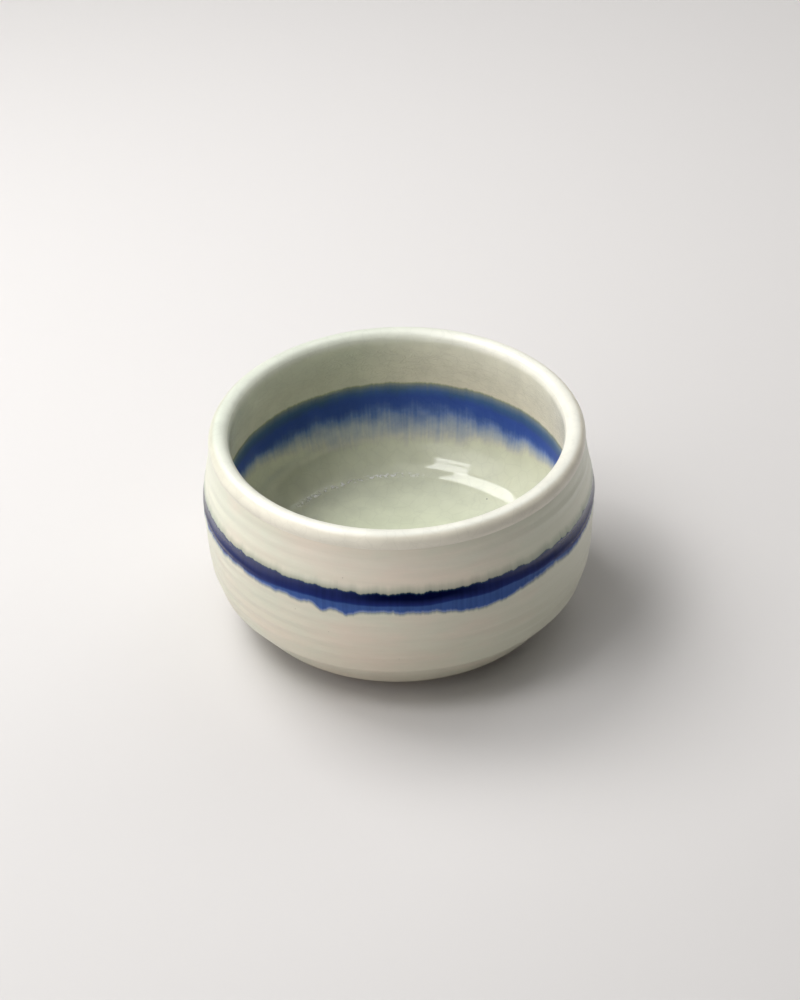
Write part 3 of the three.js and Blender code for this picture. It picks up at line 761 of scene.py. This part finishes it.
# The inner cobalt band. Cobalt oxide, brushed on as the bowl turned and melted into the liner glaze. It
# fills the liner's channel, crisp and faintly raised at the top, and drawn out in streaks below.
INNER_PROUD = 0.1
RAISED_WITHIN = 0.05
inner_rows = (
    [(INNER_TOP, CHANNEL, 1, 0), (INNER_TOP, 0, 1, 0)]
    + [
        (
            INNER_TOP + part * inner_width,
            -INNER_PROUD * (1 - part) * min(1, part / RAISED_WITHIN),
            1 - part,
            part,
        )
        for part in steps(0, 1, 0.05)[1:-1]
    ]
    + [(INNER_FOOT, 0, 0, 1), (INNER_FOOT, CHANNEL, 0, 1)]
    + inner_channel
)
throw(
    "inner_cobalt_band",
    inside_wheel,
    inner_rows,
    True,
    "inner_cobalt",
    celadon("cobalt melted into celadon, brushed", 0.0, 0.04),
    **inside_sizes,
)

# The outer glaze. Satin ivory, from the seam under the lip down over the belly and the chamfer. It ends in a
# rolled edge on the underside, where the foot was wiped clean for the kiln. The throwing rings show through.
OUTER_TOP = 14.3
OUTER_FOOT = OUTER_TOP + 6.4
OUTER_WAVES = [(0.12, 5, 1), (0.1, 13, 0)]
# The runs and drips: degrees from the front, positive to the right, spread in degrees and drop in mm
OUTER_RUNS = [
    (-22.5, 2.4, 1.6),
    (-15.5, 3, 2.1),
    (25, 12, 2.7),
    (58, 6, 1.2),
    (98, 9, 1.4),
    (152, 5, 1.7),
    (-96, 12, 1.1),
    (-141, 4, 1.9),
]
OUTSIDE_FACETS = 960
IVORY_CLOUD = 22 * MM
WHEEL_STREAK = 14 * MM
PINHOLE_SPACING = 5 * MM
SKIN = 1.6 * MM
HAZE_ABOVE = 3.2 * MM
HAZE_BELOW = 1.2 * MM
BLEED = 0.6 * MM
WASH = 1.1 * MM

# Satin ivory: a thick tin-white glaze that crystallised as it cooled, so it is soft and only half glossy.
# It shifts between pink and green as the smoke reached it, with fine streaks from the wheel and pinholes,
# and is painted paler and greener at the sides for the sheen of glancing light.
ivory, tree, at_object, down, past_top, past_foot, outwards = glaze("satin ivory glaze, dipped")
part = node(tree, MATHS, {0: down, 1: OUTSIDE_LENGTH * MM}, operation="DIVIDE")
body = node(tree, RAMP, {0: part})
by_distance = [
    (0, "#dfd9cb"),
    (1.5, "#ddd7c9"),
    (5, "#e1dbce"),
    (10, "#e2dbcd"),
    (OUTER_TOP, "#dcd6c8"),
    (OUTER_FOOT + 2, "#ddd6c8"),
    (OUTSIDE_LENGTH, "#c6bfae"),
]
grade(body, [(distance / OUTSIDE_LENGTH, code) for distance, code in by_distance])

# Pink and green clouds, longer round the bowl than down it, shifted to the pale green end towards the sides
# as a painted sheen where the light glances off the glaze
flat_at = node(tree, VECTOR, {0: at_object, 1: (1, 1, 2.2)}, operation="MULTIPLY")
cloud = node(
    tree, NOISE, {"Vector": flat_at, "Scale": 1 / IVORY_CLOUD, "Detail": 3.0, "Roughness": 0.55}
)
painted_side_sheen = nearness(tree, outwards, -14, 66.4, 18.2, 0.36, -0.03)
cloud = node(tree, MATHS, {0: cloud, 1: painted_side_sheen}, operation="ADD")
tint = node(tree, RAMP, {0: cloud})
grade(tint, [(0.3, "#fff8f4"), (0.72, "#f4fbf5")])
body = node(tree, VECTOR, {0: body, 1: tint}, operation="MULTIPLY")

# Streaks left by the wheel: very long round the bowl and about a millimetre down it
streak_at = node(tree, VECTOR, {0: at_object, 1: (1, 1, 14)}, operation="MULTIPLY")
streak = node(tree, NOISE, {"Vector": streak_at, "Scale": 1 / WHEEL_STREAK, "Detail": 3.0})
streak_shade = node(tree, RANGE, {0: streak, 1: 0.3, 2: 0.7, 3: 0.975, 4: 1.015})
body = node(tree, VECTOR, {0: body, "Scale": streak_shade.outputs[0]}, operation="SCALE")

# A grey-green haze where the cobalt's fumes touched the glaze above the stripe
haze = node(
    tree, RANGE, {0: past_top, 1: -HAZE_ABOVE, 2: 0.0, 3: 0.0, 4: 1.0}, interpolation_type="SMOOTHSTEP"
)
below = node(tree, RANGE, {0: past_foot, 1: 0.0, 2: HAZE_BELOW, 3: 1.0, 4: 0.0})
haze = node(tree, MATHS, {0: haze, 1: below}, operation="MULTIPLY")

# Beside the stripe the cobalt bled a little way into the ivory, grey above it and a blue wash below it
bleed = node(tree, RANGE, {0: past_top, 1: -BLEED, 2: 0.05 * MM, 3: 0.0, 4: 0.9})
bleed = node(tree, MATHS, {0: bleed, 1: bleed}, operation="MULTIPLY")
over = node(tree, MATHS, {0: past_foot, 1: 0.0}, operation="LESS_THAN")
bleed = node(tree, MATHS, {0: bleed, 1: over}, operation="MULTIPLY")
under = node(tree, RANGE, {0: past_foot, 1: 0.0, 2: WASH, 3: 1.0, 4: 0.0})
under = node(tree, MATHS, {0: under, 1: under}, operation="MULTIPLY")
over = node(tree, MATHS, {0: past_foot, 1: 0.0}, operation="GREATER_THAN")
under = node(tree, MATHS, {0: under, 1: over}, operation="MULTIPLY")
for amount, code in ((haze, "#cad2ce"), (bleed, "#6f7f80"), (under, "#a6b6e0")):
    tinted = node(tree, MIX, {0: amount, 6: (1, 1, 1, 1), 7: colour(code)}, data_type="RGBA")
    body = node(tree, VECTOR, {0: body, 1: tinted.outputs[2]}, operation="MULTIPLY")

# A few pinholes, and fine bumps and grooves in the skin that break up the light on it
pinhole = node(tree, CELLS, {"Vector": at_object, "Scale": 1 / PINHOLE_SPACING})
hole = node(tree, RANGE, {0: pinhole.outputs["Distance"], 1: 0.02, 2: 0.045, 3: 1.0, 4: 0.0})
chosen = node(tree, SPLIT, {0: pinhole.outputs["Color"]})
chosen = node(tree, MATHS, {0: chosen, 1: 0.6}, operation="GREATER_THAN")
hole = node(tree, MATHS, {0: hole, 1: chosen}, operation="MULTIPLY")
hole = node(tree, MATHS, {0: hole, 1: 0.55}, operation="MULTIPLY")
holed = node(tree, MIX, {0: hole, 6: body, 7: colour("#7d6a55")}, data_type="RGBA")
skin = node(tree, NOISE, {"Vector": at_object, "Scale": 1 / SKIN, "Detail": 2.0})
grooves = node(tree, MATHS, {0: streak, 1: 0.6, 2: skin}, operation="MULTIPLY_ADD")
uneven = node(tree, BUMP, {"Height": grooves, "Strength": 0.35, "Distance": 0.12 * MM})
slant = node(tree, "ShaderNodeLayerWeight", {"Blend": 0.5}).outputs["Facing"]
mirror = node(tree, RANGE, {0: slant, 1: 0.4, 2: 0.8, 3: 0.5, 4: 1.0})
face = {"Base Color": holed.outputs[2], "Roughness": 0.34, "IOR": 1.5, "Normal": uneven}
ivory_shader = node(tree, SURFACE, {**face, "Specular IOR Level": mirror})
node(tree, OUTPUT, {0: ivory_shader})

outside_object = line_object("outside_line", outside)
outside_wheel = wheel("Thrown outside", 1, waves=OUTER_WAVES, runs=OUTER_RUNS)
outside_sizes = {
    "Line": outside_object,
    "Facets": OUTSIDE_FACETS,
    "Band Top": OUTER_TOP * MM,
    "Band Foot": OUTER_FOOT * MM,
    "Ring Height": 0.12 * MM,
    "Ring Pitch": 4.25 * MM,
    "First Ridge": 5.2 * MM,
    "Ring Start": 0,
    "Ring End": WALL_LENGTH * MM,
    "Tooth Height": 2.0 * MM,
    "Tooth Width": 4.5 * MM,
    "Finger Marks": 0.12 * MM,
}
OUTER_EASE = 8
below_band = steps(OUTER_FOOT, OUTER_FOOT + OUTER_EASE, 0.8)[1:]
outer_width = OUTER_FOOT - OUTER_TOP
# Across the channel's bottom, from the stripe's top to its foot
outer_channel = [
    (OUTER_TOP + part * outer_width, CHANNEL, 1 - part, part) for part in (0.25, 0.5, 0.75)
]
outer_rows = (
    [(down, 0, max(0, 1 - (OUTER_TOP - down) / EASE_ABOVE), 0) for down in steps(0, OUTER_TOP, 0.7)]
    + [(OUTER_TOP, CHANNEL, 1, 0)]
    + outer_channel
    + [(OUTER_FOOT, CHANNEL, 0, 1), (OUTER_FOOT, 0, 0, 1)]
    + [(down, 0, 0, 1 - (down - OUTER_FOOT) / OUTER_EASE) for down in below_band]
    + free_rows(OUTER_FOOT + OUTER_EASE + 0.7, WALL_LENGTH, 0.7)
    + free_rows(WALL_LENGTH + 0.4, WALL_LENGTH + 2, 0.5)
    + free_rows(WALL_LENGTH + 3.2, OUTSIDE_LENGTH - 7, 1.2)
    + free_rows(OUTSIDE_LENGTH - 6.2, OUTSIDE_LENGTH, 0.5)
    + free_rows(OUTSIDE_LENGTH - 7, 0, 4, GLAZE)
)
throw("outer_glaze", outside_wheel, outer_rows, True, "ivory_glaze", ivory, **outside_sizes)

# The outer cobalt band. Laid on thick with a loaded brush while the bowl turned, so it stands a little
# proud. The glaze carried the cobalt down in the kiln: a lighter run below the stripe, with a few drips.
OUTER_PROUD = 0.1
BRUSH_SWAY = 2.2 * MM
TEAL_RIM = 0.75 * MM
BRISTLE = 1.1 * MM
FEATHERED = 0.9 * MM
COBALT_RIPPLE = 1.2 * MM
# Where the brush was fullest: degrees from the front, positive to the right, and degrees to each side
FULLEST = [(4, 22), (96, 14), (148, 24), (-88, 17), (-150, 12)]
# How proud the stripe stands at shares of its width, as a share of the most: quickly up, then slowly down
CROWN = [
    *[(0.02, 0.1), (0.05, 0.25), (0.1, 0.5), (0.18, 0.82), (0.28, 1), (0.4, 0.96), (0.5, 0.86)],
    *[(0.6, 0.71), (0.7, 0.53), (0.8, 0.34), (0.9, 0.16), (0.97, 0.05)],
]

# Cobalt oxide in glaze: near black where it lies thick, royal blue where it has run thin. It is smoother
# than the ivory round it, and its colour changes along a line that wavers with the load of the brush.
outer_cobalt, tree, at_object, down, past_top, past_foot, outwards = glaze(
    "cobalt oxide glaze, brushed thick"
)
sway = node(tree, NOISE, {"Vector": outwards, "Scale": 5.0, "Detail": 4.0})
sway = node(tree, MATHS, {0: sway, 1: 0.5}, operation="SUBTRACT")
sway = node(tree, MATHS, {0: sway, 1: BRUSH_SWAY, 2: down}, operation="MULTIPLY_ADD")
load = node(tree, MATHS, {0: sway, 1: OUTER_TOP * MM}, operation="SUBTRACT")
across = node(tree, MATHS, {0: load, 1: outer_width * MM}, operation="DIVIDE")
# At the sides the stripe is as thick as the band, and the run below it only starts nearer the front
ahead = nearness(tree, outwards, 4, 66.4, 31.8, 0.45, 0.03)
load = node(tree, MATHS, {0: across, 1: ahead}, operation="SUBTRACT")
thick = node(tree, RAMP, {0: load})
grade(
    thick,
    [
        (0.0, "#222b58"),
        (0.3, "#202958"),
        (0.5, "#212b62"),
        (0.58, "#22326e"),
        (0.66, "#3c5690"),
        (1.0, "#405a97"),
    ],
)

# The stripe is blackest where the brush was fullest, and a thin teal line shows at its ragged top
fullest = None
for at, reach in FULLEST:
    laden = nearness(tree, outwards, at, reach, 0.4 * reach)
    fullest = node(tree, MATHS, {0: laden, 1: fullest or 0.0}, operation="MAXIMUM")
above = node(tree, RANGE, {0: load, 1: 0.25, 2: 0.52, 3: 1.0, 4: 0.0})
fullest = node(tree, MATHS, {0: fullest, 1: above}, operation="MULTIPLY")
thick = node(tree, MIX, {0: fullest, 6: thick, 7: colour("#040a2e")}, data_type="RGBA")
rim = node(tree, RANGE, {0: past_top, 1: 0.0, 2: TEAL_RIM, 3: 0.6, 4: 0.0})
rim = node(tree, MATHS, {0: rim, 1: 1.8}, operation="POWER")
thick = node(tree, MIX, {0: rim, 6: thick.outputs[2], 7: colour("#4f6f80")}, data_type="RGBA")

# Fine streaks from the bristles, a paler feathered foot, and a rippled face with less shine on the run
drawn = node(tree, VECTOR, {0: outwards, "Scale": BELLY_RADIUS * MM / BRISTLE}, operation="SCALE")
drawn = node(tree, NOISE, {"Vector": drawn, "Scale": 1.0, "Detail": 1.0})
drawn = node(tree, RANGE, {0: drawn, 1: 0.3, 2: 0.7, 3: 0.88, 4: 1.12})
thick = node(tree, VECTOR, {0: thick.outputs[2], "Scale": drawn.outputs[0]}, operation="SCALE")
thin = node(tree, RANGE, {0: past_foot, 1: -FEATHERED, 2: 0.0, 3: 0.0, 4: 0.75})
thin = node(tree, MATHS, {0: thin, 1: 1.6}, operation="POWER")
feathered = node(tree, MIX, {0: thin, 6: thick, 7: colour("#a9b4cc")}, data_type="RGBA")
ripple = node(tree, NOISE, {"Vector": at_object, "Scale": 1 / COBALT_RIPPLE})
ripple = node(tree, BUMP, {"Height": ripple, "Strength": 0.3, "Distance": 0.08 * MM})
slant = node(tree, "ShaderNodeLayerWeight", {"Blend": 0.5}).outputs["Facing"]
sheen = node(tree, RANGE, {0: slant, 1: 0.2, 2: 0.75, 3: 0.0, 4: 1.25})
glassy = node(tree, RANGE, {0: across, 1: 0.25, 2: 0.5, 3: 1.0, 4: 0.08})
sheen = node(tree, MATHS, {0: sheen, 1: glassy}, operation="MULTIPLY")
face = {"Base Color": feathered.outputs[2], "Roughness": 0.25, "IOR": 1.5, "Normal": ripple}
band_shader = node(tree, SURFACE, {**face, "Specular IOR Level": sheen})
node(tree, OUTPUT, {0: band_shader})

band_rows = (
    [(OUTER_TOP, CHANNEL, 1, 0), (OUTER_TOP, 0, 1, 0)]
    + [(OUTER_TOP + part * outer_width, -proud * OUTER_PROUD, 1 - part, part) for part, proud in CROWN]
    + [(OUTER_FOOT, 0, 0, 1), (OUTER_FOOT, CHANNEL, 0, 1)]
    + outer_channel[::-1]
)
throw(
    "outer_cobalt_band", outside_wheel, band_rows, True, "outer_cobalt", outer_cobalt, **outside_sizes
)
for helper in (clay_object, inside_object, outside_object):
    bpy.data.objects.remove(helper)

# The table, the light and the camera: a pale matt sweep, a window high on the left with a second pane beside
# it, soft panels round the bowl for the sky and the room, and a long lens that looks down at the bowl.
FLOOR_SIZE = 3.0
floor_mesh = bpy.data.meshes.new("table")
half = FLOOR_SIZE / 2
floor_mesh.from_pydata(
    [(-half, -half, 0), (half, -half, 0), (half, half, 0), (-half, half, 0)], [], [(0, 1, 2, 3)]
)
table = bpy.data.objects.new("table", floor_mesh)
bpy.context.scene.collection.objects.link(table)
paper, tree = blank_material("matt white paper")
paper_shader = node(tree, SURFACE, {"Base Color": colour("#d5d2d0"), "Roughness": 0.9})
node(tree, OUTPUT, {0: paper_shader})
floor_mesh.materials.append(paper)

BOWL_MIDDLE = Vector((0, 0, 0.03))
for name, turn, rise, away, width, height, roll, power in [
    ("window", -127, 57.2, 0.7, 0.4, 0.39, 0, 3.5),
    ("pane", -62.5, 62.9, 1.0, 0.33, 0.33, 29, 2.5),
    ("sky_left", -90, 65, 1.3, 1.3, 1.3, 0, 4.05),
    ("sky_front", -55, 35, 1.3, 1.2, 1.0, 0, 3.95),
    ("low_front", -42, 5, 1.3, 1.0, 0.15, 0, 2.7),
    ("low_left", -95, 16, 1.3, 1.2, 0.5, 0, 2.7),
    ("low_right", 90, 8, 1.3, 1.2, 0.3, 0, 2.0),
    ("room_right", 130, 30, 1.2, 0.8, 0.5, 0, 2.1),
    ("room_back", 150, 55, 1.1, 0.6, 0.6, 0, 1.7),
]:
    light = bpy.data.lights.new(name, "AREA")
    light.shape = "RECTANGLE"
    light.size = width
    light.size_y = height
    light.energy = power
    light_object = bpy.data.objects.new(name, light)
    # its direction from the front, positive to the right, and above level
    turn, rise = math.radians(turn), math.radians(rise)
    way = Vector((math.sin(turn) * math.cos(rise), -math.cos(turn) * math.cos(rise), math.sin(rise)))
    light_object.location = BOWL_MIDDLE + away * way
    light_object.rotation_mode = "QUATERNION"
    rolled = Quaternion((0, 0, 1), math.radians(roll))
    light_object.rotation_quaternion = way.to_track_quat("Z", "Y") @ rolled
    bpy.context.scene.collection.objects.link(light_object)
    # the dark side of the room lights the bowl, but leaves no reflection in the glaze
    light_object.visible_glossy = name not in ("low_right", "room_right")

room = bpy.data.worlds.new("room")
room.use_nodes = True
room.node_tree.nodes["Background"].inputs["Color"].default_value = (1, 1, 1, 1)
room.node_tree.nodes["Background"].inputs["Strength"].default_value = 0.0
bpy.context.scene.world = room

ELEVATION = 36.46
DISTANCE = 0.8
TILT = -1.88
LOOK_AT_HEIGHT = 32.8 * MM
LENS = 92.9
SHIFT = (0.0006, 0.0126)
camera = bpy.data.cameras.new("camera")
camera.sensor_width = 36
camera.lens = LENS
camera.shift_x, camera.shift_y = SHIFT
camera.clip_start = 0.01
camera.dof.use_dof = False
camera_object = bpy.data.objects.new("camera", camera)
lean = math.radians(ELEVATION)
camera_object.location = (0, -DISTANCE * math.cos(lean), LOOK_AT_HEIGHT + DISTANCE * math.sin(lean))
camera_object.rotation_mode = "ZXY"
camera_object.rotation_euler = (math.pi / 2 - lean, 0, 0)
bpy.context.scene.collection.objects.link(camera_object)
bpy.context.scene.camera = camera_object
bpy.context.view_layer.update()
camera_object.matrix_world = camera_object.matrix_world @ Matrix.Rotation(math.radians(TILT), 4, "Z")
bpy.context.scene.view_settings.view_transform = "Standard"
